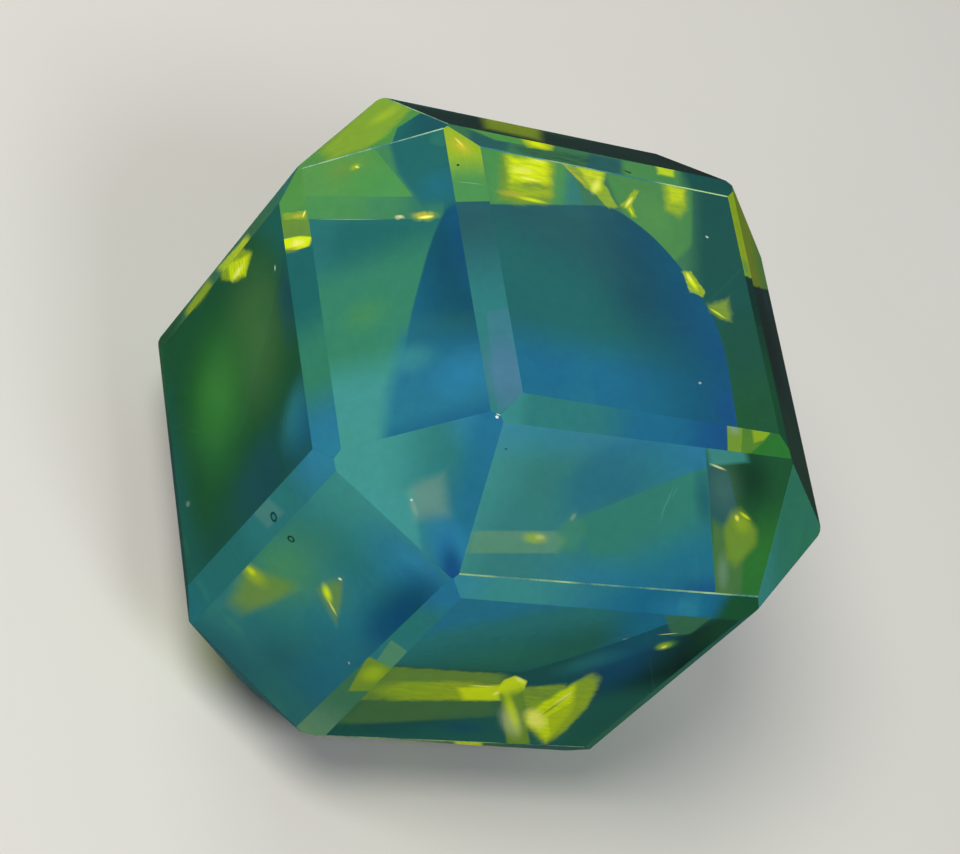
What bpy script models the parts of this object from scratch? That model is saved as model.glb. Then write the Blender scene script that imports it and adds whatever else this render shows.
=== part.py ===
# A piece of opal cut and polished by hand as a cube with its edges and corners ground away.
# Six square faces, a wide band in place of each edge, a triangle in place of each corner, and
# a narrow strip between every square and every band. One solid stone, resting on a square.
import itertools
import math

import bmesh
import bpy
from mathutils import Vector

# Driving dimensions, in metres: the distance between two opposite facets of each kind.
ACROSS_SQUARES = 0.0280
ACROSS_BANDS = 0.0307
ACROSS_STRIPS = 0.0311
ACROSS_CORNERS = 0.0343
# A strip leans from its square towards its band by half of the 45 degrees between the two.
STRIP_LEAN = math.radians(22.5)

SIDES = {
    "right": Vector((1, 0, 0)),
    "left": Vector((-1, 0, 0)),
    "back": Vector((0, 1, 0)),
    "front": Vector((0, -1, 0)),
    "top": Vector((0, 0, 1)),
    "bottom": Vector((0, 0, -1)),
}

# Where the hand grinding strayed from the even shape. A square, band or corner is named by the
# sides that meet in it, and a strip as "square to side". The first value is how much deeper the
# facet is ground, in metres. The second tips its outward unit vector by these amounts.
STRAYS = {
    "front": (0.0004, (0.035, 0, 0.010)),
    "front to top": (0.0004, (0.027, 0, -0.035)),
    "front to bottom": (0.0002, (0.045, 0, 0.035)),
    "front to right": (0.0002, (0, 0, 0)),
    "top to right": (-0.0002, (0, 0, 0)),
    "front top": (0.00015, (0.010, 0, -0.010)),
    "left front top": (0.00015, (-0.015, 0.020, 0.005)),
}

# Two corners nearer to each other than this are one.
MERGE_DISTANCE = 0.000002

OPAL_COLOUR = (0.050, 0.270, 0.300, 1.0)
OPAL_ROUGHNESS = 0.06
OPAL_IOR = 1.45


def clear_scene():
    for item in list(bpy.data.objects):
        bpy.data.objects.remove(item, do_unlink=True)


def meeting_sides(count):
    """Every choice of that many sides that meet, so no two of them are opposite."""
    for names in itertools.combinations(SIDES, count):
        total = sum((SIDES[name] for name in names), Vector())
        if total.length_squared == count:
            yield names, total


def facets():
    """Each facet's name, its outward direction and its distance from the stone's centre."""
    spans = {1: ACROSS_SQUARES, 2: ACROSS_BANDS, 3: ACROSS_CORNERS}
    for count, span in spans.items():
        for names, total in meeting_sides(count):
            yield " ".join(names), total.normalized(), span / 2
    for names, total in meeting_sides(2):
        for square, side in (names, reversed(names)):
            lean = math.cos(STRIP_LEAN) * SIDES[square] + math.sin(STRIP_LEAN) * SIDES[side]
            yield f"{square} to {side}", lean, ACROSS_STRIPS / 2


def grind(stone, direction, distance):
    """Take away what lies further out than one flat facet, and close the stone with it."""
    everything = stone.verts[:] + stone.edges[:] + stone.faces[:]
    cut = bmesh.ops.bisect_plane(
        stone,
        geom=everything,
        dist=MERGE_DISTANCE,
        plane_co=direction * distance,
        plane_no=direction,
        clear_outer=True,
    )
    rim = [item for item in cut["geom_cut"] if isinstance(item, bmesh.types.BMEdge)]
    bmesh.ops.contextual_create(stone, geom=rim)


def opal_material():
    material = bpy.data.materials.new("polished_opal")
    material.use_nodes = True
    shader = material.node_tree.nodes["Principled BSDF"]
    shader.inputs["Base Color"].default_value = OPAL_COLOUR
    shader.inputs["Roughness"].default_value = OPAL_ROUGHNESS
    shader.inputs["Metallic"].default_value = 0.0
    shader.inputs["IOR"].default_value = OPAL_IOR
    material.diffuse_color = OPAL_COLOUR
    return material


def opal_cube():
    stone = bmesh.new()
    bmesh.ops.create_cube(stone, size=ACROSS_CORNERS)
    for name, direction, distance in facets():
        deeper, tip = STRAYS.get(name, (0, (0, 0, 0)))
        grind(stone, (direction + Vector(tip)).normalized(), distance - deeper)
    bmesh.ops.remove_doubles(stone, verts=stone.verts, dist=MERGE_DISTANCE)
    bmesh.ops.recalc_face_normals(stone, faces=stone.faces)

    # The origin is the middle of the outline seen from above, on the square that it rests on.
    lowest = Vector(min(corner.co[axis] for corner in stone.verts) for axis in range(3))
    highest = Vector(max(corner.co[axis] for corner in stone.verts) for axis in range(3))
    middle = (lowest + highest) / 2
    bmesh.ops.translate(stone, verts=stone.verts, vec=(-middle.x, -middle.y, -lowest.z))

    mesh = bpy.data.meshes.new("opal_cube")
    stone.to_mesh(mesh)
    stone.free()
    mesh.materials.append(opal_material())
    piece = bpy.data.objects.new("opal_cube", mesh)
    bpy.context.scene.collection.objects.link(piece)


clear_scene()
opal_cube()
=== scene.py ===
import bmesh
import bpy
from math import radians
from mathutils import Euler, Matrix, Vector


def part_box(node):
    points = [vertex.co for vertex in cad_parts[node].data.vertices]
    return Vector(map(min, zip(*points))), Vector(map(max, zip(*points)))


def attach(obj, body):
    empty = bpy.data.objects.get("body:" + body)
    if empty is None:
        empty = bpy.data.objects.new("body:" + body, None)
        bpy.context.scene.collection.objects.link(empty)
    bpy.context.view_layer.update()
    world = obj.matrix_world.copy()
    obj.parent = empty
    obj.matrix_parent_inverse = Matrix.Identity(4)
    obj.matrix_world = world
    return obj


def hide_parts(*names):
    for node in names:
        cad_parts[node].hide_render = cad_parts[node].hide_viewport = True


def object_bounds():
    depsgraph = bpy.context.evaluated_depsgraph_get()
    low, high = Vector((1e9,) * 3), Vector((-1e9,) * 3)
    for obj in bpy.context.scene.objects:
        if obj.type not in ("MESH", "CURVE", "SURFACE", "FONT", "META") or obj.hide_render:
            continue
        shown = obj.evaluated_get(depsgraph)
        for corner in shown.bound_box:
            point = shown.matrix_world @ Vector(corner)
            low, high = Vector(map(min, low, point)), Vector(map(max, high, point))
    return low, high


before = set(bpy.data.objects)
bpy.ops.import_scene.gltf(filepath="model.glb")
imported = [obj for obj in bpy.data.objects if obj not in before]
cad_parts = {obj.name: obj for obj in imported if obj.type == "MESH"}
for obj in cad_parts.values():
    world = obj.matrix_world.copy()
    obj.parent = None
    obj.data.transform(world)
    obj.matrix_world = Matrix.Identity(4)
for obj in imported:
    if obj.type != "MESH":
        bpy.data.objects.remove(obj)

mm = 0.001
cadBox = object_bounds()
cadMiddle = (Vector(cadBox[0]) + Vector(cadBox[1])) / 2


def linear(code):
    parts = [int(code[i:i + 2], 16) / 255 for i in (1, 3, 5)]
    return [c / 12.92 if c <= 0.04045 else ((c + 0.055) / 1.055) ** 2.4 for c in parts] + [1.0]


def addNode(tree, kind, settings=None, inputs=None):
    node = tree.nodes.new(kind)
    for name, value in (settings or {}).items():
        setattr(node, name, value)
    for socket, value in (inputs or {}).items():
        if isinstance(value, bpy.types.NodeSocket):
            tree.links.new(value, node.inputs[socket])
        else:
            node.inputs[socket].default_value = value
    return node


def emptyMaterial(name):
    material = bpy.data.materials.new(name)
    material.use_nodes = True
    material.node_tree.nodes.clear()
    return material, material.node_tree


# Where a point lies on its piece, in mm
def placeInMm(tree):
    where = addNode(tree, "ShaderNodeTexCoord").outputs["Object"]
    return addNode(tree, "ShaderNodeVectorMath", {"operation": "SCALE"}, {
        0: where, "Scale": 1 / mm}).outputs["Vector"]


# The camera stands where the photograph was taken from
view = {
    "place": (-80.63, -80.96, 134.16),      # mm
    "turn": (34.235, -28.868, -9.361),      # degrees
    "lens": 123.1,                          # mm
    "sensor": 36.0,                         # mm
    "sees": (10, 10000),                    # mm, from how near to how far
    "picture": (960, 854),                  # pixels
}


def makeCamera():
    data = bpy.data.cameras.new("camera")
    data.sensor_width = view["sensor"]
    data.lens = view["lens"]
    data.clip_start, data.clip_end = [reach * mm for reach in view["sees"]]
    item = bpy.data.objects.new("camera", data)
    item.rotation_euler = [radians(angle) for angle in view["turn"]]
    item.location = Vector(view["place"]) * mm
    bpy.context.scene.collection.objects.link(item)
    bpy.context.scene.camera = item


# Matt paper board: pale and plain, with a faint unevenness so that it isn't one flat colour
paper = {
    "halfWidth": 1500,                      # mm
    "tints": ("#d9d8d3", "#d2d1cc"),
    "unevenness": 33.3,                     # mm across one patch of a tint
    "roughness": 0.7,
    "specular": 0.2,
}


def makeFloor():
    shape = bmesh.new()
    bmesh.ops.create_grid(shape, x_segments=1, y_segments=1, size=paper["halfWidth"] * mm)
    mesh = bpy.data.meshes.new("floor")
    shape.to_mesh(mesh)
    shape.free()
    floor = bpy.data.objects.new("floor", mesh)
    bpy.context.scene.collection.objects.link(floor)
    material, tree = emptyMaterial("mattPaperBoard")
    uneven = addNode(tree, "ShaderNodeTexNoise", inputs={
        "Vector": placeInMm(tree), "Scale": 1 / paper["unevenness"], "Detail": 2}).outputs["Fac"]
    tint, otherTint = [linear(code) for code in paper["tints"]]
    colour = addNode(tree, "ShaderNodeMix", {"data_type": "RGBA"}, {
        "Factor": uneven, 6: tint, 7: otherTint}).outputs[2]
    shader = addNode(tree, "ShaderNodeBsdfPrincipled", inputs={
        "Base Color": colour, "Roughness": paper["roughness"], "Specular IOR Level": paper["specular"]})
    addNode(tree, "ShaderNodeOutputMaterial", inputs={"Surface": shader.outputs["BSDF"]})
    mesh.materials.append(material)
    # the lower facets mirror the dark under the stone and not the paper
    floor.visible_glossy = False
    floor.visible_transmission = False


studio = {
    "air": "#dfe3e6",
    "airBelow": 0.03,                       # light of the air under the stone
    "airAbove": 0.20,                       # and over it
    "horizon": (-0.05, 0.6),                # heights between which the one turns into the other
    "backdrop": 0.8,                        # how light the wall behind the paper is
    "exposure": 0.0,
    # place and size in mm, watts, colour
    "lamps": {
        "key": ((-190, -30, 320), 170, 1.0, "#fffaf2"),
        "fill": ((20, -230, 330), 150, 0.5, "#f4f8ff"),
        "behind": ((-90, 330, 110), 170, 0.5, "#ffffff"),
    },
}


def makeLight():
    scene = bpy.context.scene
    world = bpy.data.worlds.new("studio air")
    world.use_nodes = True
    tree = world.node_tree
    way = addNode(tree, "ShaderNodeTexCoord").outputs["Generated"]
    height = addNode(tree, "ShaderNodeSeparateXYZ", inputs={"Vector": way}).outputs["Z"]
    low, high = studio["horizon"]
    light = addNode(tree, "ShaderNodeMapRange", {"interpolation_type": "SMOOTHSTEP"}, {
        "Value": height, "From Min": low, "From Max": high,
        "To Min": studio["airBelow"], "To Max": studio["airAbove"]}).outputs["Result"]
    seen = addNode(tree, "ShaderNodeLightPath").outputs["Is Camera Ray"]
    light = addNode(tree, "ShaderNodeMix", inputs={
        "Factor": seen, "A": light, "B": studio["backdrop"]}).outputs["Result"]
    shade = tree.nodes["Background"]
    shade.inputs["Color"].default_value = linear(studio["air"])
    tree.links.new(light, shade.inputs["Strength"])
    scene.world = world
    for name, (place, size, watts, colour) in studio["lamps"].items():
        data = bpy.data.lights.new(name, "AREA")
        data.shape = "DISK"
        data.size = size * mm
        data.energy = watts
        data.color = linear(colour)[:3]
        lamp = bpy.data.objects.new(name, data)
        lamp.location = Vector(place) * mm
        lamp.rotation_euler = (lamp.location - cadMiddle).to_track_quat("Z", "Y").to_euler()
        scene.collection.objects.link(lamp)
    scene.view_settings.view_transform = "Standard"
    scene.view_settings.look = "None"
    scene.view_settings.exposure = studio["exposure"]


# The colours that the stone shows, from its dark body to its flashes, and a near-black that is painted shade
# on facets that turn from the light
palette = {
    "paintedShade": "#08201a", "night": "#16332c", "pine": "#1b4e49", "forest": "#1d5030", "fern": "#2c6f2a",
    "leaf": "#4f8f45", "moss": "#466f3c", "sage": "#3c7050", "seaGreen": "#337b62", "lagoon": "#206261",
    "teal": "#2c7575", "mist": "#40908c", "slate": "#24545c", "dusk": "#1a4858", "ink": "#10485f",
    "deepBlue": "#134f78", "violetBlue": "#14467c", "blue": "#1c6786", "brightBlue": "#27749c",
    "skyBlue": "#3383ac", "haze": "#347876", "mauve": "#4a7492", "olive": "#6f8f2c", "lime": "#97b11c",
    "yellow": "#d6e80b", "glint": "#f4f26c", "gold": "#c8b430", "spruce": "#235e52", "cream": "#c4c88e",
    "beige": "#7d9a86", "white": "#e6f2ea",
}


# The shapes that a tone may have, with points that are pixels of the photograph. A fade runs from
# its start to where it is full, a spot is as slim as given and reaches from its middle to its tip,
# and a patch lies between its corners.
def fade(start, full):
    return ("fade", (start, full), 0, 1)


def spot(middle, tip, slim, soft=0.95):
    return ("spot", (middle, tip), soft, slim)


def patch(*corners, soft=0.5):
    return ("patch", corners, soft, 1)


# A tone shows where all of its shapes are, and its share says how much. Grain breaks it into streaks.
def tone(colour, *shapes, share=1.0, grain=0.0):
    return {"colour": colour, "shapes": shapes, "share": share, "grain": grain}


# The dark body that shows inside a facet ends in a clean border
topBody = patch((460, 202), (555, 202), (607, 203), (652, 234), (694, 283), (723, 336), (735, 395),
    (740, 440), (490, 402), soft=0.02)
leftBody = patch((447, 204), (438, 214), (431, 240), (417, 270), (410, 310), (392, 450), (530, 430),
    (480, 205), soft=0.12)
bandBody = patch((420, 400), (560, 414), (708, 440), (711, 480), (719, 602), (430, 590), soft=0.015)
frontBody = patch((455, 590), (700, 612), (640, 637), (600, 649), (540, 671), (518, 676), (440, 669),
    (385, 667), soft=0.02)

# Other shapes that two tones share
upperPart = patch((280, 150), (440, 110), (444, 219), (290, 219), soft=0.015)
limeBar = patch((724, 176), (740, 180), (768, 262), (770, 290), (746, 284), soft=0.05)
paleSquare = patch((391, 640), (407, 651), (393, 671), (377, 660), soft=0.06)
paleBand = patch((472, 531), (556, 531), (566, 540), (556, 553), (467, 553), soft=0.3)
farCorner = patch((407, 100), (470, 118), (455, 135), (350, 160),
    (367, 147), (386, 135), (400, 120), soft=0.04)

# The tones of every facet that the photograph shows
tones = {}
tones["top"] = {
    "outer part": tone("sage"),
    "outer teal": tone("teal", patch((548, 158), (572, 162), (578, 184), (590, 208), (548, 206)),
        share=0.7),
    "outer right": tone("pine", fade((680, 215), (706, 225))),
    "outer low": tone("forest", fade((712, 300), (745, 345)), share=0.5),
    "outer foot": tone("forest", fade((745, 350), (768, 412)), share=0.8),
    "green panel": tone("leaf", patch((604, 172), (692, 189), (692, 246), (674, 262), (622, 212),
        soft=0.15), share=0.6),
    "panel light": tone("leaf", spot((655, 215), (690, 232), 0.8), share=0.5),
    "olive block": tone("lime", patch((662, 184), (685, 188), (687, 208), (680, 217), (666, 210),
        soft=0.75), share=0.85, grain=0.25),
    "olive block heart": tone("yellow", patch((668, 186), (683, 190), (684, 203), (671, 202), soft=0.8),
        share=0.6, grain=0.4),
    "green left": tone("leaf", patch((478, 142), (570, 160), (562, 206), (488, 204), soft=0.4), share=0.8),
    "body": tone("slate", topBody),
    "body teal": tone("lagoon", topBody, fade((575, 225), (560, 295))),
    "body dusk": tone("dusk", topBody, fade((585, 232), (655, 262)), fade((632, 352), (626, 288))),
    "body blue": tone("blue", topBody, fade((580, 320), (588, 375))),
    "body right": tone("ink", topBody, fade((590, 295), (720, 325)), share=0.85),
    "body violet": tone("deepBlue", topBody, fade((640, 325), (730, 340)), share=0.75),
    "body corner": tone("violetBlue", topBody, spot((740, 412), (700, 380), 0.9)),
    "block": tone("olive", patch((501, 154), (554, 162), (551, 203), (520, 205), (499, 200), soft=0.35),
        grain=0.3),
    "block glow": tone("lime", patch((506, 154), (553, 162), (551, 196), (522, 200), (508, 190)),
        grain=0.55),
    "block heart": tone("yellow", patch((508, 156), (546, 161), (549, 182), (512, 181), soft=0.7),
        grain=0.5),
    "block streak": tone("glint", spot((530, 179), (547, 183), 0.14, 0.9), share=0.6),
    "second streak": tone("glint", spot((522, 170), (540, 171), 0.3), share=0.5),
    "dark streak": tone("olive", patch((522, 182), (550, 187), (549, 190), (523, 186), soft=0.6), share=0.9,
        grain=0.4),
    "third streak": tone("glint", spot((538, 161), (550, 163), 0.2, 0.9), share=0.5),
    "block foot": tone("yellow", spot((532, 200), (552, 204), 0.14, 0.9), share=0.9),
    "block rust": tone("gold", spot((512, 194), (532, 197), 0.25, 0.9), share=0.5),
    "long flash": tone("lime", patch((562, 163), (606, 172), (603, 190), (598, 196), (586, 188), soft=0.2),
        share=0.85, grain=0.4),
    "long flash tail": tone("lime", patch((586, 184), (604, 184), (612, 197), (618, 208), (607, 207),
        soft=0.3), share=0.8, grain=0.15),
    "long flash heart": tone("yellow", patch((578, 167), (603, 172), (601, 190), (594, 192), soft=0.7),
        share=0.65, grain=0.5),
    "long flash glint": tone("glint", spot((596, 186), (601, 176), 0.4, 0.9), share=0.6),
    "long flash rim": tone("gold", spot((576, 176), (594, 192), 0.1, 0.8), share=0.5),
    "small flash": tone("lime", patch((620, 206), (634, 189), (639, 191), (630, 210), soft=0.4), share=0.9,
        grain=0.2),
    "small flash tail": tone("lime", patch((625, 206), (632, 206), (637, 218), (631, 217), soft=0.4),
        share=0.8, grain=0.2),
    "small glint": tone("glint", spot((629, 202), (634, 195), 0.22, 0.8), share=0.8),
    "small tail glint": tone("yellow", spot((631, 211), (634, 217), 0.3, 0.8), share=0.8),
    "border flash": tone("lime", patch((682, 271), (690, 270), (706, 293), (703, 297), (690, 292),
        soft=0.2), grain=0.3),
    "border flash heart": tone("yellow", spot((692, 282), (700, 294), 0.35, 0.9)),
    "border flash rim": tone("glint", spot((689, 277), (692, 283), 0.5, 0.8), share=0.6),
    "soft flash": tone("lime", patch((708, 305), (728, 299), (731, 321), (722, 319), (711, 312), soft=0.8),
        share=0.6, grain=0.2),
    "soft flash line": tone("yellow", spot((717, 313), (728, 320), 0.16, 0.8), share=0.8),
    "dust": tone("white", spot((707, 237), (709, 238), 0.7, 0.6), share=0.6),
    "more dust": tone("white", spot((700, 383), (702, 383), 0.7, 0.6), share=0.4),
}
tones["top to left"] = {
    "ground": tone("teal"),
    "high": tone("slate", fade((490, 310), (478, 215))),
    "foot": tone("mauve", patch((486, 311), (514, 308), (525, 398), (498, 412), soft=0.06), share=0.35),
    "foot deep": tone("mauve", spot((506, 372), (514, 418), 0.7), share=0.8),
    "pale": tone("leaf", patch((430, 110), (495, 140), (497, 201), (445, 202), soft=0.03), share=0.85),
    "lime": tone("lime", patch((438, 110), (490, 140), (494, 183), (443, 182), soft=0.03), fade((474, 184),
        (468, 150)), share=0.9, grain=0.1),
    "lime high": tone("gold", spot((460, 146), (480, 158), 0.6), share=0.4),
    "rust": tone("gold", spot((462, 147), (471, 152), 0.5, 0.8), share=0.8, grain=0.6),
    "glint": tone("glint", spot((459, 142), (465, 148), 0.2, 0.8), share=0.6),
    "line": tone("cream", spot((470, 183), (488, 185), 0.03, 0.7), share=0.35),
    "border line": tone("cream", spot((490, 172), (497, 203), 0.07, 0.8), share=0.9),
    "speck": tone("night", spot((458, 165), (460, 165), 0.8, 0.5)),
}
tones["top to back"] = {
    "ground": tone("sage"),
    "left": tone("slate", patch((470, 130), (510, 142), (505, 154), (470, 145)), share=0.8),
    "upper lime": tone("leaf", patch((450, 120), (530, 136), (530, 146), (495, 140), soft=0.4)),
    "yellow": tone("lime", patch((518, 135), (554, 141), (552, 151), (528, 148), soft=0.4), grain=0.2),
    "yellow heart": tone("yellow", spot((537, 144), (554, 148), 0.55)),
    "streaks": tone("night", patch((515, 146), (600, 158), (604, 172), (530, 160)), share=0.6, grain=1.0),
    "middle": tone("slate", patch((590, 154), (622, 160), (620, 178), (585, 170), soft=0.4), share=0.8),
    "green": tone("leaf", patch((622, 160), (680, 170), (680, 186), (625, 178), soft=0.3), share=0.7),
    "second yellow": tone("yellow", patch((655, 162), (676, 167), (673, 177), (658, 174), soft=0.6),
        share=0.8, grain=0.3),
    "speck": tone("night", spot((628, 172), (634, 174), 0.5, 0.7), grain=0.3),
    "right end": tone("pine", fade((676, 172), (690, 176))),
}
tones["top to right"] = {
    "ground": tone("night"),
    "lime": tone("lime", patch((720, 180), (738, 184), (752, 278), (738, 274), soft=0.04), share=0.85,
        grain=0.1),
    "under lime": tone("leaf", spot((746, 268), (750, 282), 0.6, 0.9), share=0.7),
    "low": tone("forest", fade((758, 300), (770, 380)), share=0.7),
}
tones["top to front"] = {
    "ground": tone("teal"),
    "left": tone("mist", fade((535, 408), (515, 402)), share=0.5),
    "blue": tone("blue", fade((590, 416), (645, 426))),
    "deep": tone("violetBlue", fade((655, 430), (725, 440)), share=0.85),
    "right end": tone("fern", patch((727, 415), (800, 425), (805, 470), (728, 458), soft=0.01)),
    "lime": tone("olive", patch((727, 416), (774, 424), (766, 440), (745, 458), (728, 456), soft=0.12),
        share=0.4),
    "bright corner": tone("lime", patch((752, 430), (772, 431), (764, 440), (754, 443)), share=0.7),
    "light": tone("olive", patch((727, 418), (743, 421), (741, 456), (728, 454), soft=0.04)),
    "light head": tone("beige", spot((734, 428), (741, 436), 0.9), share=0.7),
}
tones["left top"] = {
    "ground": tone("lagoon"),
    "left": tone("teal", fade((345, 250), (318, 250)), share=0.4),
    "middle": tone("seaGreen", fade((345, 245), (355, 290))),
    "bright middle": tone("leaf", spot((365, 315), (398, 300), 0.8), share=0.35),
    "low": tone("mist", fade((350, 345), (352, 395)), share=0.85),
    "low blue": tone("blue", patch((402, 335), (500, 320), (500, 440), (382, 450), (386, 400)), share=0.85),
    "head": tone("leaf", upperPart, share=0.55),
    "head left": tone("leaf", fade((380, 205), (350, 205)), upperPart, share=0.5),
    "head blue": tone("lagoon", patch((384, 120), (460, 110), (465, 200), (420, 205), (412, 194),
        (398, 178), soft=0.3)),
    "head right": tone("lagoon", patch((380, 196), (445, 196), (444, 219), (380, 219), soft=0.02),
        fade((388, 208), (425, 206)), share=0.6),
    "head blue right": tone("blue", spot((440, 185), (405, 195), 0.8), share=0.45),
    "panel": tone("leaf", patch((300, 160), (372, 142), (398, 176), (416, 197), (358, 197), (300, 196),
        soft=0.04), share=0.8),
    "panel light": tone("olive", spot((345, 168), (312, 178), 0.5), share=0.35),
    "sparkle": tone("lime", spot((355, 167), (364, 165), 0.6, 0.9), grain=0.4),
    "sparkle glint": tone("glint", spot((357, 167), (360, 168), 0.5, 0.7), share=0.7),
    "body": tone("ink", leftBody, fade((424, 372), (434, 300))),
    "body blue": tone("deepBlue", leftBody, fade((448, 300), (452, 285)), fade((440, 250), (470, 240)),
        share=0.5),
    "body side": tone("blue", leftBody, fade((458, 300), (404, 318)), fade((420, 356), (425, 320)),
        share=0.5),
    "body light": tone("mist", spot((412, 358), (446, 350), 0.7, 0.98), share=0.5),
    "body low": tone("brightBlue", spot((462, 375), (415, 392), 0.8, 0.98), share=0.8),
    "foot": tone("deepBlue", fade((430, 405), (436, 432)), patch((385, 390), (500, 370), (500, 440),
        (386, 450), soft=0.2), share=0.6),
    "line": tone("cream", spot((350, 219.5), (396, 219.5), 0.012, 0.9), share=0.5),
    "flash": tone("lime", spot((425, 216), (443, 215), 0.4, 0.9), grain=0.5),
    "flash heart": tone("gold", spot((422, 214), (436, 213), 0.35, 0.8), share=0.6, grain=0.3),
    "flash glint": tone("glint", spot((426, 217), (436, 216), 0.25, 0.7)),
    "second flash": tone("cream", spot((399, 217), (406, 217), 0.4, 0.7), grain=0.5),
}
tones["left to top"] = {
    "ground": tone("lagoon"),
    "head": tone("leaf", fade((300, 244), (294, 205))),
    "middle": tone("seaGreen", fade((312, 300), (316, 350)), share=0.9),
    "low": tone("brightBlue", fade((322, 375), (328, 430)), share=0.8),
    "first bar": tone("lime", patch((283, 213), (307, 211), (308, 219), (283, 220), soft=0.3), share=0.7,
        grain=0.3),
    "first bar rust": tone("gold", spot((298, 216), (306, 215), 0.3, 0.9), share=0.8),
    "first bar glint": tone("glint", spot((304, 214), (306, 209), 0.4, 0.8)),
    "between": tone("olive", patch((278, 220), (312, 219), (313, 237), (280, 238), soft=0.05), share=0.8),
    "bar": tone("yellow", patch((279, 240), (300, 236), (312, 237), (309, 246), (296, 250), (282, 250),
        soft=0.3)),
    "bar rim": tone("gold", spot((294, 248), (305, 247), 0.14, 0.9), share=0.8),
    "bar glint": tone("glint", spot((297, 243), (309, 240), 0.35, 0.9), grain=0.3),
    "bar shade": tone("olive", spot((288, 251), (302, 250), 0.2, 0.8), share=0.7),
}
tones["left"] = {
    "ground": tone("forest"),
    "far": tone("pine", fade((235, 450), (250, 500)), share=0.7),
    "high": tone("lagoon", fade((262, 265), (275, 225)), share=0.6),
    "olive": tone("moss", spot((254, 335), (268, 440), 0.8, 0.98), share=0.8),
    "green": tone("fern", spot((216, 400), (224, 510), 0.85, 0.98)),
    "green light": tone("leaf", spot((218, 395), (226, 465), 0.8, 0.98), share=0.3),
    "border dusk": tone("dusk", spot((288, 300), (294, 365), 0.45, 0.98), share=0.7),
    "blue": tone("teal", spot((295, 415), (280, 465), 0.7)),
    "blue heart": tone("blue", spot((304, 425), (286, 480), 0.9, 0.98), share=0.6),
    "deep": tone("dusk", spot((262, 485), (300, 430), 0.8, 0.98), share=0.6),
    "foot": tone("lagoon", fade((215, 530), (190, 570)), share=0.5),
    "low green": tone("forest", spot((198, 490), (208, 540), 0.5), share=0.7),
    "flash": tone("lime", patch((218, 266), (238, 248), (252, 252), (249, 264), (245, 277), (236, 281),
        (222, 280), soft=0.3), share=0.85, grain=0.2),
    "flash heart": tone("yellow", patch((228, 264), (248, 255), (245, 275), (230, 279), soft=0.6),
        grain=0.5),
    "flash glint": tone("glint", spot((238, 272), (246, 262), 0.3, 0.8), grain=0.4),
    "streak": tone("lime", spot((200, 297), (214, 283), 0.3, 0.9), share=0.7, grain=0.3),
    "dust": tone("white", spot((275, 268), (275, 272), 0.4, 0.7), share=0.6),
    "more dust": tone("beige", spot((188, 504), (191, 504), 0.6, 0.7), share=0.5),
}
tones["left to back"] = {
    "ground": tone("sage"),
    "high": tone("teal", fade((270, 220), (290, 180)), share=0.6),
    "flash": tone("yellow", patch((218, 268), (246, 236), (252, 242), (226, 274)), share=0.8, grain=0.3),
    "streak": tone("lime", patch((184, 312), (208, 280), (214, 288), (190, 318)), grain=0.3),
    "low": tone("forest", fade((190, 312), (170, 335)), share=0.9),
}
tones["left to bottom"] = {
    "ground": tone("pine"),
    "green": tone("fern", fade((172, 440), (165, 400)), share=0.6),
}
tones["left to front"] = {
    "ground": tone("teal"),
    "head": tone("skyBlue", spot((320, 456), (286, 492), 0.9, 0.98), share=0.75),
    "light": tone("beige", patch((252, 512), (268, 498), (284, 512), (268, 528)), share=0.2),
    "low": tone("lagoon", fade((262, 530), (240, 550)), share=0.5),
    "foot": tone("blue", fade((215, 580), (190, 610)), share=0.3),
    "bubble": tone("night", spot((273.7, 517), (277.5, 517), 1, 0.3)),
    "bubble inside": tone("teal", spot((273.7, 517), (276, 517), 1, 0.4)),
}
tones["left front"] = {
    "ground": tone("teal"),
    "high": tone("mist", fade((320, 545), (332, 480)), share=0.8),
    "green": tone("leaf", spot((285, 565), (345, 520), 0.6), share=0.5),
    "haze": tone("leaf", spot((340, 600), (350, 570), 0.7), share=0.3),
    "haze low": tone("leaf", spot((300, 580), (352, 600), 0.8, 0.98), share=0.45),
    "blue": tone("brightBlue", spot((418, 582), (345, 498), 0.6, 0.98), share=0.9),
    "high blue": tone("blue", spot((378, 640), (330, 705), 1.1, 0.98), share=0.6),
    "blue light": tone("skyBlue", spot((425, 568), (380, 535), 0.35), share=0.6),
    "low": tone("slate", fade((298, 606), (312, 672)), share=0.75),
    "low blue": tone("blue", spot((330, 675), (375, 640), 0.6), share=0.45),
    "deep": tone("ink", spot((406, 613), (352, 662), 0.42)),
    "deep tip": tone("violetBlue", spot((392, 619), (360, 648), 0.38), share=0.45),
    "corner": tone("haze", spot((222, 612), (275, 668), 0.7, 0.98), share=0.5),
    "patch": tone("olive", patch((246, 566), (264, 572), (292, 583), (294, 590), (270, 604), (244, 613),
        (230, 602), soft=0.8), share=0.75),
    "patch heart": tone("lime", spot((254, 575), (272, 590), 0.7, 0.98), share=0.8),
    "patch glint": tone("yellow", spot((251, 571), (258, 576), 0.8), share=0.7),
    "flash": tone("olive", patch((318, 590), (331, 581), (342, 580), (341, 600), (336, 622), soft=0.95),
        share=0.7),
    "flash heart": tone("yellow", spot((327, 593), (331, 606), 0.5), share=0.95),
    "flash tail": tone("glint", spot((332, 607), (338, 618), 0.16, 0.8), share=0.6),
    "flash dust": tone("white", spot((340, 579), (342.5, 580), 0.7, 0.7), share=0.9),
    "dust": tone("white", spot((349, 663), (349.8, 665), 0.6, 0.8), share=0.4),
    "bubble": tone("night", spot((291, 539), (295, 539), 0.9, 0.3)),
    "bubble inside": tone("seaGreen", spot((291, 539), (293.3, 539), 0.9, 0.4)),
}
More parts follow.
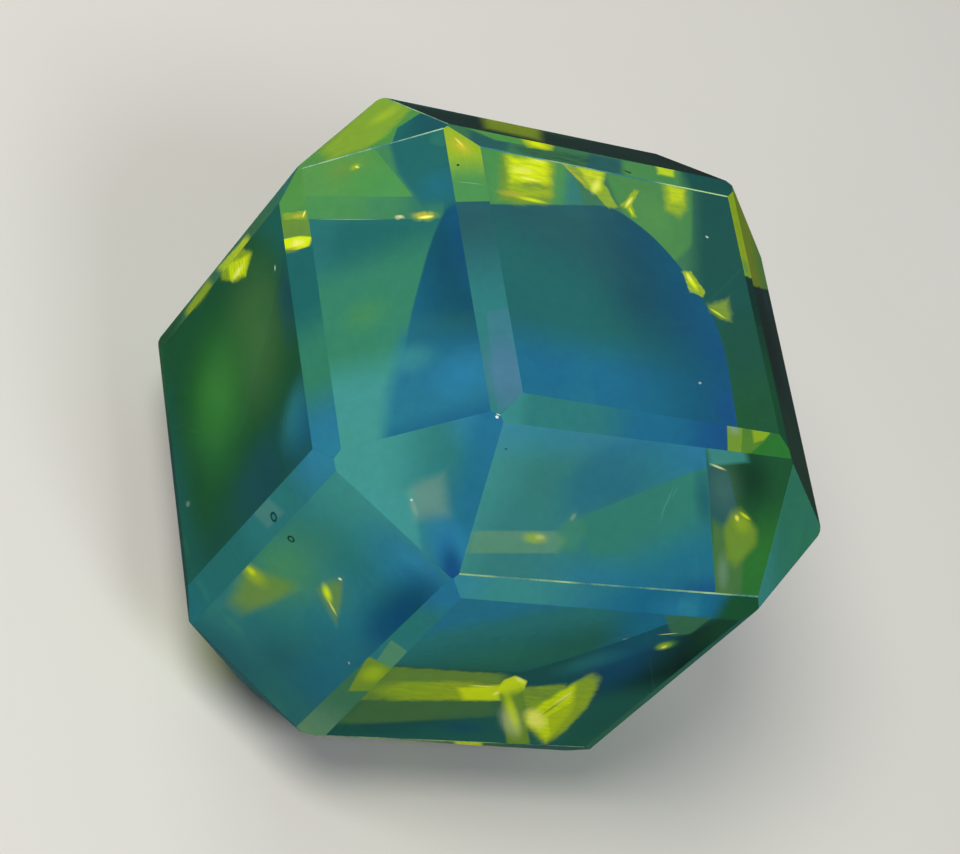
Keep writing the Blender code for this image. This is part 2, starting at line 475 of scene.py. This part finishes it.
tones["left front top"] = {
    "ground": tone("teal"),
    "left": tone("mist", fade((445, 470), (375, 462))),
    "top blue": tone("skyBlue", fade((440, 440), (480, 412)), share=0.8),
    "right": tone("blue", fade((440, 480), (472, 488)), share=0.8),
    "light triangle": tone("mist", patch((362, 492), (413, 490), (422, 556)), share=0.8),
    "blue": tone("brightBlue", spot((450, 545), (420, 505), 0.7)),
    "deep": tone("deepBlue", spot((452, 568), (445, 525), 0.45)),
    "tip": tone("violetBlue", spot((453, 575), (450, 550), 0.5, 0.9), share=0.8),
    "beige patch": tone("beige", patch((410, 490), (420, 482), (443, 475), (448, 514), (416, 518),
        soft=1.0), share=0.45),
    "dust": tone("white", spot((411.5, 500), (413.5, 500.5), 0.8, 0.7), share=0.7),
    "dust trail": tone("beige", spot((414, 508), (418, 520), 0.3, 0.8), share=0.6),
    "chip": tone("white", spot((500, 413), (504.5, 413), 0.6, 0.4)),
    "second chip": tone("white", spot((497, 417), (499, 418), 0.8, 0.5)),
}
tones["left front bottom"] = {
    "ground": tone("teal"),
    "low": tone("slate", fade((230, 670), (280, 715)), share=0.7),
}
tones["left back top"] = {
    "ground": tone("leaf"),
    "lime": tone("lime", patch((320, 150), (386, 90), (414, 105), (385, 137), (366, 148), (330, 160),
        soft=0.4), share=0.65, grain=0.2),
    "lime heart": tone("yellow", spot((385, 115), (365, 130), 0.5), share=0.25),
    "teal": tone("lagoon", farCorner),
    "teal blue": tone("dusk", fade((395, 130), (430, 120)), farCorner, share=0.6),
}
tones["back top"] = {
    "ground": tone("night"),
    "left end": tone("pine", fade((450, 115), (420, 105)), share=0.7),
    "green": tone("forest", spot((560, 135), (600, 142), 0.5), share=0.7),
    # painted shade: near-black darkening the far end of this facet, which turns from the light
    "blue": tone("paintedShade", fade((600, 140), (680, 158)), share=0.7),
    "bump": tone("lime", patch((480, 108), (540, 118), (540, 140), (486, 128)), share=0.85, grain=0.1),
    "bump rim": tone("cream", spot((508, 122), (532, 130), 0.2, 0.9), share=0.7),
}
tones["right top"] = {
    "ground": tone("night"),
    "blue": tone("ink", spot((764, 292), (772, 330), 0.5), share=0.5),
    "green": tone("forest", fade((772, 360), (785, 420)), share=0.3),
    # painted shade: near-black darkening the low part of this facet
    "dark": tone("paintedShade", spot((770, 345), (780, 420), 0.6, 0.98), share=0.8),
    "lime": tone("lime", limeBar, share=0.75, grain=0.1),
    "lime low": tone("leaf", fade((750, 240), (762, 275)), limeBar, share=0.7),
    "rim": tone("cream", spot((747, 217), (758, 250), 0.05, 0.8), share=0.8),
}
tones["right front top"] = {
    "ground": tone("seaGreen"),
    "light": tone("mist", fade((785, 560), (763, 590)), share=0.6),
}
tones["front"] = {
    "ground": tone("pine"),
    "right dark": tone("night", patch((585, 672), (676, 636), (780, 590), (620, 770), (560, 760),
        soft=0.25)),
    "right blue": tone("deepBlue", spot((625, 662), (580, 735), 0.4), share=0.55),
    "right teal": tone("teal", spot((590, 662), (540, 678), 0.5), share=0.5),
    "right green": tone("forest", spot((725, 628), (680, 665), 0.4), share=0.5),
    # painted shade: near-black darkening the lower right of this facet
    "right shade": tone("paintedShade", spot((668, 684), (590, 745), 0.6, 0.98), share=0.85),
    "low olive": tone("moss", patch((330, 722), (372, 690), (498, 698), (505, 716), (360, 724), soft=0.45),
        share=0.9),
    "low green": tone("spruce", fade((440, 712), (444, 738)), share=0.7),
    "foot blue": tone("ink", spot((465, 728), (500, 731), 0.45), share=0.6),
    "body": tone("spruce", frontBody),
    "body green": tone("seaGreen", frontBody, spot((500, 655), (400, 660), 0.4, 0.98), share=0.3),
    "body teal": tone("teal", frontBody, fade((545, 655), (540, 615))),
    "body high": tone("brightBlue", frontBody, fade((530, 622), (527, 604)), share=0.7),
    "body right": tone("blue", frontBody, fade((590, 632), (650, 622))),
    "band": tone("olive", patch((365, 684), (388, 666), (505, 674), (508, 700), (350, 700), soft=0.25),
        share=0.85, grain=0.1),
    "band bright": tone("lime", patch((375, 690), (400, 682), (470, 682), (505, 690), (500, 700),
        (400, 700), soft=0.6), grain=0.4),
    "band light": tone("yellow", patch((458, 688), (500, 685), (500, 700), (464, 700)), share=0.8),
    "band line": tone("glint", spot((481, 686), (498, 687), 0.06, 0.7)),
    "knot": tone("glint", spot((497, 693), (502, 690), 0.7, 0.8), share=0.8),
    "block": tone("yellow", patch((496, 690), (504, 680), (515, 676), (527, 681), (524, 690), (510, 700),
        soft=0.25), share=0.9),
    "block rim": tone("glint", spot((520, 680), (527, 685), 0.25, 0.8), share=0.8),
    "gap": tone("lime", patch((520, 688), (566, 684), (560, 700), (545, 712), (526, 712), soft=0.3),
        share=0.8, grain=0.4),
    "column": tone("olive", patch((500, 694), (522, 690), (530, 745), (508, 750), soft=0.4), share=0.95),
    "column light": tone("cream", spot((511, 722), (519, 744), 0.25, 0.9), share=0.6),
    "column streak": tone("yellow", spot((512, 712), (521, 741), 0.1, 0.9), share=0.7),
    "wedge": tone("lime", patch((591, 674), (600, 680), (588, 706), (562, 734), (545, 744), (525, 724),
        (526, 711), (548, 697), soft=0.3), share=0.95, grain=0.2),
    "wedge heart": tone("yellow", patch((556, 694), (575, 684), (572, 710), (546, 741), (527, 723),
        (530, 713), soft=0.4), grain=0.4),
    "wedge fold": tone("olive", spot((556, 705), (582, 686), 0.07, 0.9), share=0.8),
    "second wedge fold": tone("lime", patch((548, 716), (576, 700), (570, 718), (550, 734), soft=0.3),
        share=0.6),
    "wedge glint": tone("glint", spot((535, 719), (543, 733), 0.35, 0.8), share=0.8),
    "second wedge glint": tone("glint", spot((564, 698), (577, 688), 0.25, 0.8), share=0.5),
    "light patch": tone("sage", patch((664, 614), (716, 615), (690, 634), (672, 636), soft=0.3), share=0.9),
    "sparkle glow": tone("leaf", spot((666, 645), (682, 640), 0.8, 0.9), share=0.8),
    "sparkle line": tone("glint", spot((668, 634), (680, 633), 0.08, 0.7)),
    "sparkle": tone("lime", spot((664, 646), (673, 641), 0.9, 0.98)),
    "sparkle glint": tone("glint", spot((664, 647), (668, 645), 0.8, 0.9), share=0.9),
    "dust": tone("beige", spot((625, 639), (629, 638), 0.5, 0.7), share=0.6),
}
tones["front to left"] = {
    "ground": tone("teal"),
    "high": tone("brightBlue", fade((425, 620), (442, 595)), share=0.9),
    "low": tone("sage", fade((385, 660), (370, 680))),
    "foot": tone("beige", fade((350, 700), (320, 728)), share=0.3),
    "quad": tone("beige", paleSquare, share=0.35),
    "quad green": tone("leaf", paleSquare, share=0.5),
    "lime": tone("olive", patch((368, 656), (393, 669), (376, 691), (348, 691), soft=0.15)),
    "lime heart": tone("lime", spot((373, 674), (388, 664), 0.6, 0.9)),
}
tones["front to top"] = {
    "ground": tone("blue"),
    "left": tone("mist", fade((650, 606), (520, 592)), share=0.85),
    "far left": tone("skyBlue", fade((500, 592), (460, 585)), share=0.4),
    "right": tone("brightBlue", spot((680, 608), (640, 605), 0.6), share=0.6),
    "end": tone("forest", fade((712, 606), (730, 608))),
}
tones["front to right"] = {
    "ground": tone("spruce"),
    "low": tone("sage", fade((740, 625), (640, 700)), share=0.5),
}
tones["front to bottom"] = {
    "ground": tone("moss"),
    "left": tone("cream", fade((500, 742), (380, 738)), share=0.55),
    "flash": tone("yellow", patch((455, 734), (482, 734), (482, 756), (455, 756), soft=0.4)),
    "right": tone("slate", fade((500, 742), (560, 747)), share=0.7),
}
tones["front top"] = {
    "right part": tone("forest"),
    "green edge": tone("fern", fade((752, 500), (762, 560)), share=0.9),
    # painted shade: near-black darkening the upper right of this facet
    "upper right dark": tone("paintedShade", spot((752, 478), (765, 520), 0.7, 0.98), share=0.6),
    "upper right": tone("mist", patch((704, 440), (745, 448), (748, 462), (710, 466)), share=0.7),
    "column": tone("slate", patch((700, 464), (728, 470), (738, 512), (716, 540), soft=0.2), share=0.75),
    "column light": tone("beige", spot((724, 488), (734, 530), 0.6, 0.98), share=0.15),
    "column foot": tone("moss", patch((712, 520), (745, 540), (740, 606), (714, 606), soft=0.4)),
    "foot light": tone("beige", spot((723, 572), (724, 600), 0.35), share=0.4),
    "blob": tone("olive", patch((724, 528), (731, 512), (741, 509), (757, 530), (756, 545), (736, 566),
        (727, 560)), share=0.85),
    "blob heart": tone("lime", spot((742, 524), (752, 536), 0.7), share=0.5),
    "blob glint": tone("glint", spot((737, 518), (739, 522), 0.6, 0.8), share=0.7),
    "blob line": tone("yellow", spot((745, 516), (752, 521), 0.2, 0.8), share=0.7),
    "body": tone("haze", bandBody),
    "body left": tone("mist", bandBody, fade((530, 500), (480, 480)), share=0.6),
    "body grey": tone("slate", bandBody, spot((610, 495), (520, 475), 0.5, 0.98), share=0.3),
    "body high": tone("skyBlue", bandBody, fade((600, 474), (608, 434)), share=0.4),
    "above lower": tone("blue", bandBody, patch((560, 524), (708, 464), (716, 430), (610, 440), (565, 480),
        soft=0.7), share=0.5),
    "body right": tone("brightBlue", bandBody, fade((640, 470), (700, 465)), share=0.5),
    "lower": tone("teal", bandBody, patch((575, 518), (708, 466), (740, 470), (740, 640), (300, 640),
        soft=0.03), fade((535, 560), (590, 548)), share=0.9),
    "lower green": tone("seaGreen", bandBody, patch((578, 518), (708, 466), (740, 470), (740, 560),
        (590, 556), soft=0.05), fade((655, 560), (645, 520)), share=0.6),
    "lower border": tone("ink", bandBody, spot((705, 500), (712, 545), 0.35), share=0.6),
    "lower blue": tone("blue", bandBody, fade((636, 540), (646, 584)), share=0.85),
    "lower middle": tone("brightBlue", bandBody, spot((590, 575), (520, 570), 0.35, 0.98), share=0.4),
    "lower deep": tone("violetBlue", bandBody, spot((715, 595), (650, 590), 0.35), share=0.8),
    "band": tone("leaf", paleBand, share=0.4),
    "band light": tone("beige", paleBand, share=0.25),
    "band bump": tone("leaf", patch((558, 530), (574, 512), (586, 527), (578, 550), (558, 552), soft=0.9),
        share=0.3),
    "band spot": tone("lime", spot((535, 538), (553, 540), 0.4, 0.9), share=0.75),
    "band glint": tone("cream", spot((540, 537), (547, 538), 0.5, 0.9), share=0.5),
    "band tip": tone("beige", spot((573, 517), (577, 512), 0.6, 0.8), share=0.6),
    "scratch": tone("mist", spot((668, 500), (677, 480), 0.06, 0.8), share=0.7),
    "second scratch": tone("mist", spot((663, 512), (667, 498), 0.08, 0.8), share=0.6),
    "third scratch": tone("mist", spot((675, 492), (680, 482), 0.1, 0.8), share=0.6),
    "light line": tone("cream", spot((718, 467), (728, 471), 0.12, 0.7)),
    "speck": tone("night", spot((506, 449), (508, 449), 0.6, 0.5), share=0.7),
}


sides = {
    "right": Vector((1, 0, 0)), "left": Vector((-1, 0, 0)), "back": Vector((0, 1, 0)),
    "front": Vector((0, -1, 0)), "top": Vector((0, 0, 1)), "bottom": Vector((0, 0, -1)),
}
facing = 0.3        # a facet that points this much to a side faces it
squareOn = 0.85     # and this much, it is nearly parallel to it
lying = 0.1         # a facet tilted less than this lies level


# A facet is named by the sides that it faces, and a narrow strip as "top to left"
def nameFacet(normal):
    pulls = sorted(((normal.dot(way), side) for side, way in sides.items()), reverse=True)
    near = [side for pull, side in pulls if pull > facing]
    if len(near) == 2 and pulls[0][0] > squareOn:
        return " to ".join(near)
    return " ".join(side for side in sides if side in near)


# Sides that the photograph doesn't show take the tones of a side that it does, seen the other
# way round: through the middle of the stone, or turned half round.
turns = [(1, 1, 1), (-1, -1, -1), (-1, 1, -1), (1, -1, -1)]


def turned(vector, turn):
    return Vector(a * b for a, b in zip(vector, turn))


def findTones(name, facets):
    for turn in turns:
        source = nameFacet(turned(facets[name]["normal"], turn))
        if source in tones:
            return source, turn


# A pixel of the photograph, as the point in mm where the line of sight through it meets a facet
def onFacet(facet, pixel):
    wide, high = view["picture"]
    step = view["sensor"] / wide
    sight = Vector(((pixel[0] - wide / 2) * step, (high / 2 - pixel[1]) * step, -view["lens"]))
    sight.rotate(Euler([radians(angle) for angle in view["turn"]]))
    eye = Vector(view["place"])
    return eye + sight * ((facet["point"] - eye).dot(facet["normal"]) / sight.dot(facet["normal"]))


# Polished opal: amorphous silica ground flat and polished on felt. The milk scatters soft teal,
# blue and green light, hard-edged flashes of lime and yellow lie in it, and some light goes on
# through the stone. The polish gives a clear but slightly wavy gloss. A share of every tone is
# given off as painted glow, though the stone is no lamp.
opal = {
    "ior": 1.45,
    "specular": 0.3,
    "roughness": (0.04, 0.10),
    "clearness": 0.35,      # share of the light that goes on into the stone
    "paintedGlow": 0.31,     # share of a tone that is given off as painted glow, as if from inside
    "cloud": 4.5,           # mm across one milky cloud
    "cloudTurn": 0.01,      # how far a cloud turns the hue
    "silk": 0.5,            # mm across the silk in the milk, coarser than the real one so that it shows
    "silkLight": 0.04,      # how much lighter or darker the silk makes a tone
    "wave": 3.5,            # mm between the shallow hollows that the felt leaves
    "waveDepth": 0.012,     # mm
    "cornerRound": 0.18,    # how round the corners of a patch are, as a share of its width
    "raggedness": 0.32,     # mm that the border of a flash wanders in all
    "raggedLength": 0.5,    # mm
    "streak": (1.3, 0.16, 0.5),     # mm, length and width of a bright streak in a flash
    "drawnOut": 6.0,        # mm, how far the tones of a hidden side are pulled about
    "drawnLength": 8.0,     # mm over which they are
    "drawnApart": 40.0,     # mm that the pull of one side lies away from that of the next
}

# Between which values of a noise its effect goes from nothing to all
noiseMiddle = (0.5, 0.5, 0.5)
mostOfNoise = (0.3, 0.7)
coreOfNoise = (0.35, 0.65)
streakOfNoise = (0.36, 0.62)


def drawFade(tree, place, points):
    start, full = points
    way = (full - start) / (full - start).length_squared
    along = addNode(tree, "ShaderNodeVectorMath", {"operation": "DOT_PRODUCT"}, {0: place, 1: way})
    return addNode(tree, "ShaderNodeMapRange", {"interpolation_type": "SMOOTHSTEP"}, {
        "Value": along.outputs["Value"], "From Min": start.dot(way), "From Max": full.dot(way),
    }).outputs["Result"]


def drawSpot(tree, place, points, normal, soft, slim):
    middle, tip = points
    reach = tip - middle
    axes = Matrix((reach.normalized(), normal.cross(reach).normalized(), normal)).transposed()
    inside = addNode(tree, "ShaderNodeMapping", {"vector_type": "TEXTURE"}, {
        "Vector": place, "Location": middle, "Rotation": axes.to_euler(),
        "Scale": (reach.length, reach.length * slim, reach.length),
    })
    out = addNode(tree, "ShaderNodeVectorMath", {"operation": "LENGTH"}, {0: inside.outputs["Vector"]})
    return addNode(tree, "ShaderNodeMapRange", {"interpolation_type": "SMOOTHSTEP"}, {
        "Value": out.outputs["Value"], "From Min": 1.0, "From Max": 1 - soft,
    }).outputs["Result"]


# Every side of a patch gives the share of the way from the middle to that side, and the largest
# share counts. It is 1 on the border.
def drawPatch(tree, place, points, normal, soft):
    centre = sum(points, Vector()) / len(points)
    inside = addNode(tree, "ShaderNodeVectorMath", {"operation": "SUBTRACT"}, {0: place, 1: centre})
    furthest = None
    for start, end in zip(points, points[1:] + points[:1]):
        out = (end - start).cross(normal).normalized()
        out /= (start - centre).dot(out)
        share = addNode(tree, "ShaderNodeVectorMath", {"operation": "DOT_PRODUCT"}, {
            0: inside.outputs["Vector"], 1: out}).outputs["Value"]
        if furthest:
            share = addNode(tree, "ShaderNodeMath", {"operation": "SMOOTH_MAX"}, {
                0: furthest, 1: share, 2: opal["cornerRound"]}).outputs["Value"]
        furthest = share
    return addNode(tree, "ShaderNodeMapRange", {"interpolation_type": "SMOOTHSTEP"}, {
        "Value": furthest, "From Min": 1 + soft / 2, "From Max": 1 - soft / 2,
    }).outputs["Result"]


# A shape is drawn on the facet that it was read from and turned round to the facet that borrows it
def drawShape(tree, place, shape, source, turn, middle):
    kind, pixels, soft, slim = shape
    points = [middle + turned(onFacet(source, pixel) - middle, turn) for pixel in pixels]
    normal = turned(source["normal"], turn)
    if kind == "fade":
        return drawFade(tree, place, points)
    if kind == "spot":
        return drawSpot(tree, place, points, normal, soft, slim)
    return drawPatch(tree, place, points, normal, soft)


# A noise that moves places about by up to half its reach, one way or the other
def moveAbout(tree, place, seenFrom, length, reach, detail):
    noise = addNode(tree, "ShaderNodeTexNoise", inputs={
        "Vector": seenFrom, "Scale": 1 / length, "Detail": detail, "Roughness": 0.6}).outputs["Color"]
    move = addNode(tree, "ShaderNodeVectorMath", {"operation": "SUBTRACT"}, {
        0: noise, 1: noiseMiddle}).outputs["Vector"]
    return addNode(tree, "ShaderNodeVectorMath", {"operation": "MULTIPLY_ADD"}, {
        0: move, 1: [reach] * 3, 2: place}).outputs["Vector"]


# Fine streaks that lie level along the facet
def drawStreaks(tree, place, normal):
    level = Vector((0, 0, 1)).cross(normal)
    level = level.normalized() if level.length > lying else Vector((1, 0, 0))
    axes = Matrix((level, normal.cross(level), normal)).transposed()
    along = addNode(tree, "ShaderNodeMapping", {"vector_type": "TEXTURE"}, {
        "Vector": place, "Rotation": axes.to_euler(), "Scale": opal["streak"]}).outputs["Vector"]
    noise = addNode(tree, "ShaderNodeTexNoise", inputs={
        "Vector": along, "Scale": 1, "Detail": 3, "Roughness": 0.65}).outputs["Fac"]
    dim, bright = streakOfNoise
    return addNode(tree, "ShaderNodeMapRange", inputs={
        "Value": noise, "From Min": dim, "From Max": bright}).outputs["Result"]


# The first tone covers the facet, and the others are laid over it in their order
def layTones(tree, place, name, facets, middle):
    source, turn = findTones(name, facets)
    normal = facets[name]["normal"]
    if source != name:
        # a side that borrows its tones has them drawn out, so that no two sides look alike
        apart = addNode(tree, "ShaderNodeVectorMath", {"operation": "ADD"}, {
            0: place, 1: normal * opal["drawnApart"]}).outputs["Vector"]
        place = moveAbout(tree, place, apart, opal["drawnLength"], opal["drawnOut"], 0)
    ragged = moveAbout(tree, place, place, opal["raggedLength"], opal["raggedness"], 2)
    streaks = drawStreaks(tree, place, normal)
    ground, *layers = tones[source].values()
    colour = addNode(tree, "ShaderNodeRGB").outputs["Color"]
    colour.default_value = linear(palette[ground["colour"]])
    drawn = {}
    for layer in layers:
        grain = layer["grain"]
        share = layer["share"]
        if grain:
            share = addNode(tree, "ShaderNodeMapRange", inputs={
                "Value": streaks, "To Min": share * (1 - grain), "To Max": share}).outputs["Result"]
        for shape in layer["shapes"]:
            key = (shape, grain > 0)
            if key not in drawn:
                drawn[key] = drawShape(tree, ragged if grain else place, shape, facets[source], turn, middle)
            share = addNode(tree, "ShaderNodeMath", {"operation": "MULTIPLY"}, {
                0: share, 1: drawn[key]}).outputs["Value"]
        colour = addNode(tree, "ShaderNodeMix", {"data_type": "RGBA"}, {
            "Factor": share, 6: colour, 7: linear(palette[layer["colour"]])}).outputs[2]
    return colour, place


def opalMaterial(name, facets, middle):
    material, tree = emptyMaterial("polishedOpal " + name)
    colour, place = layTones(tree, placeInMm(tree), name, facets, middle)

    cloud = addNode(tree, "ShaderNodeTexNoise", inputs={
        "Vector": place, "Scale": 1 / opal["cloud"], "Detail": 3, "Roughness": 0.55}).outputs["Fac"]
    silk = addNode(tree, "ShaderNodeTexNoise", inputs={
        "Vector": place, "Scale": 1 / opal["silk"], "Detail": 2, "Roughness": 0.7}).outputs["Fac"]
    low, high = mostOfNoise
    hue = addNode(tree, "ShaderNodeMapRange", inputs={
        "Value": cloud, "From Min": low, "From Max": high,
        "To Min": 0.5 - opal["cloudTurn"], "To Max": 0.5 + opal["cloudTurn"]}).outputs["Result"]
    light = addNode(tree, "ShaderNodeMapRange", inputs={
        "Value": silk, "From Min": low, "From Max": high,
        "To Min": 1 - opal["silkLight"], "To Max": 1 + opal["silkLight"]}).outputs["Result"]
    colour = addNode(tree, "ShaderNodeHueSaturation", inputs={
        "Hue": hue, "Value": light, "Color": colour}).outputs["Color"]

    wave = addNode(tree, "ShaderNodeTexNoise", inputs={
        "Vector": place, "Scale": 1 / opal["wave"], "Detail": 1, "Roughness": 0.4}).outputs["Fac"]
    bump = addNode(tree, "ShaderNodeBump", inputs={
        "Strength": 1.0, "Distance": opal["waveDepth"] * mm, "Height": wave}).outputs["Normal"]
    low, high = coreOfNoise
    smooth, matt = opal["roughness"]
    roughness = addNode(tree, "ShaderNodeMapRange", inputs={
        "Value": silk, "From Min": low, "From Max": high,
        "To Min": smooth, "To Max": matt}).outputs["Result"]
    # the emission is painted glow in the colour of the tones
    shader = addNode(tree, "ShaderNodeBsdfPrincipled", inputs={
        "Base Color": colour, "Roughness": roughness, "IOR": opal["ior"],
        "Specular IOR Level": opal["specular"], "Transmission Weight": opal["clearness"],
        "Emission Color": colour, "Emission Strength": opal["paintedGlow"], "Normal": bump})
    addNode(tree, "ShaderNodeOutputMaterial", inputs={"Surface": shader.outputs["BSDF"]})
    return material


# Where two facets meet, grinding leaves a hair-thin rounded edge. On the edges listed under bright
# it gets a painted highlight: a pale tint, mottled along the edge, that also glows.
edge = {
    "width": 0.045,         # mm taken off both facets where they meet
    "steps": 2,
    "tints": ((0.44, "#2d7278"), (0.6, "#a8c888")),     # where in the noise, and the colour there; the pale one is the painted highlight
    "stretch": 4.0,         # mm along an edge from one tint to the other
    "chips": 0.333,         # mm from one tiny chip to the next
    "roughness": (0.15, 0.4),
    "clearness": 0.2,
    "bright": [             # edges that get the painted highlight, where the light catches them
        {"top", "top to back"}, {"left top", "left back top"}, {"left back top", "back top"},
        {"front top", "front to top"}, {"front to right", "right front"}, {"front to bottom", "front bottom"},
        {"left to back", "left back"}, {"right top", "right to top"}, {"front", "front to bottom"},
    ],
}


# Painted highlight on a rounded edge: a pale tint mottled along it, which also glows
def paintedHighlightEdgeMaterial():
    material, tree = emptyMaterial("groundOpalEdgePaintedHighlight")
    place = placeInMm(tree)
    cloud = addNode(tree, "ShaderNodeTexNoise", inputs={
        "Vector": place, "Scale": 1 / edge["stretch"], "Detail": 3}).outputs["Fac"]
    tint = addNode(tree, "ShaderNodeValToRGB", inputs={"Fac": cloud})
    for element, (position, code) in zip(tint.color_ramp.elements, edge["tints"]):
        element.position = position
        element.color = linear(code)
    colour = tint.outputs["Color"]
    chips = addNode(tree, "ShaderNodeTexNoise", inputs={
        "Vector": place, "Scale": 1 / edge["chips"], "Detail": 3}).outputs["Fac"]
    low, high = coreOfNoise
    smooth, matt = edge["roughness"]
    roughness = addNode(tree, "ShaderNodeMapRange", inputs={
        "Value": chips, "From Min": low, "From Max": high,
        "To Min": smooth, "To Max": matt}).outputs["Result"]
    shader = addNode(tree, "ShaderNodeBsdfPrincipled", inputs={
        "Base Color": colour, "Roughness": roughness, "IOR": opal["ior"],
        "Transmission Weight": edge["clearness"],
        "Emission Color": colour, "Emission Strength": opal["paintedGlow"]})
    addNode(tree, "ShaderNodeOutputMaterial", inputs={"Surface": shader.outputs["BSDF"]})
    return material


stone = {
    "node": "opal_cube",
    "slot": "opal",
    "onePoint": 0.001,      # mm, corners closer than this are one
    "oneFlat": 1.0,         # degrees, triangles closer to one plane than this are one facet
}


# Whether the rounded edge between the two facets that lie nearest to a point gets the painted highlight
def getsPaintedHighlight(point, facets):
    depth = {name: abs((point - facet["point"]).dot(facet["normal"])) for name, facet in facets.items()}
    near = sorted(depth, key=depth.get)[:2]
    if near[0] in tones and near[1] in tones:
        return set(near) in edge["bright"]
    pairs = [{nameFacet(turned(facets[name]["normal"], turn)) for name in near} for turn in turns]
    return any(pair in edge["bright"] for pair in pairs)


def makeStone():
    shape = bmesh.new()
    shape.from_mesh(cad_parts[stone["node"]].data)
    bmesh.ops.remove_doubles(shape, verts=shape.verts, dist=stone["onePoint"] * mm)
    bmesh.ops.dissolve_limit(
        shape, angle_limit=radians(stone["oneFlat"]), verts=shape.verts, edges=shape.edges)
    lowest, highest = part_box(stone["node"])
    middle = (lowest + highest) / 2 / mm
    facets = {nameFacet(face.normal): {"normal": face.normal.copy(), "point": face.calc_center_median() / mm}
              for face in shape.faces}
    names = list(facets)
    print(len(names), "facets")
    mesh = bpy.data.meshes.new("polishedOpal")
    for name in names:
        mesh.materials.append(opalMaterial(name, facets, middle))
    mesh.materials.append(paintedHighlightEdgeMaterial())
    for face in shape.faces:
        face.material_index = names.index(nameFacet(face.normal))
    rounded = bmesh.ops.bevel(
        shape, geom=shape.edges[:], affect="EDGES", offset=edge["width"] * mm,
        segments=edge["steps"], profile=0.5, material=-1, clamp_overlap=True)
    # the edges where the light catches get the painted highlight
    for face in rounded["faces"]:
        if getsPaintedHighlight(face.calc_center_median() / mm, facets):
            face.material_index = len(names)
    shape.to_mesh(mesh)
    shape.free()
    piece = bpy.data.objects.new("polishedOpal", mesh)
    bpy.context.scene.collection.objects.link(piece)
    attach(piece, "root")
    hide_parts(stone["node"])


makeCamera()
makeLight()
makeFloor()
print("studio ready")
makeStone()
print("stone ready")
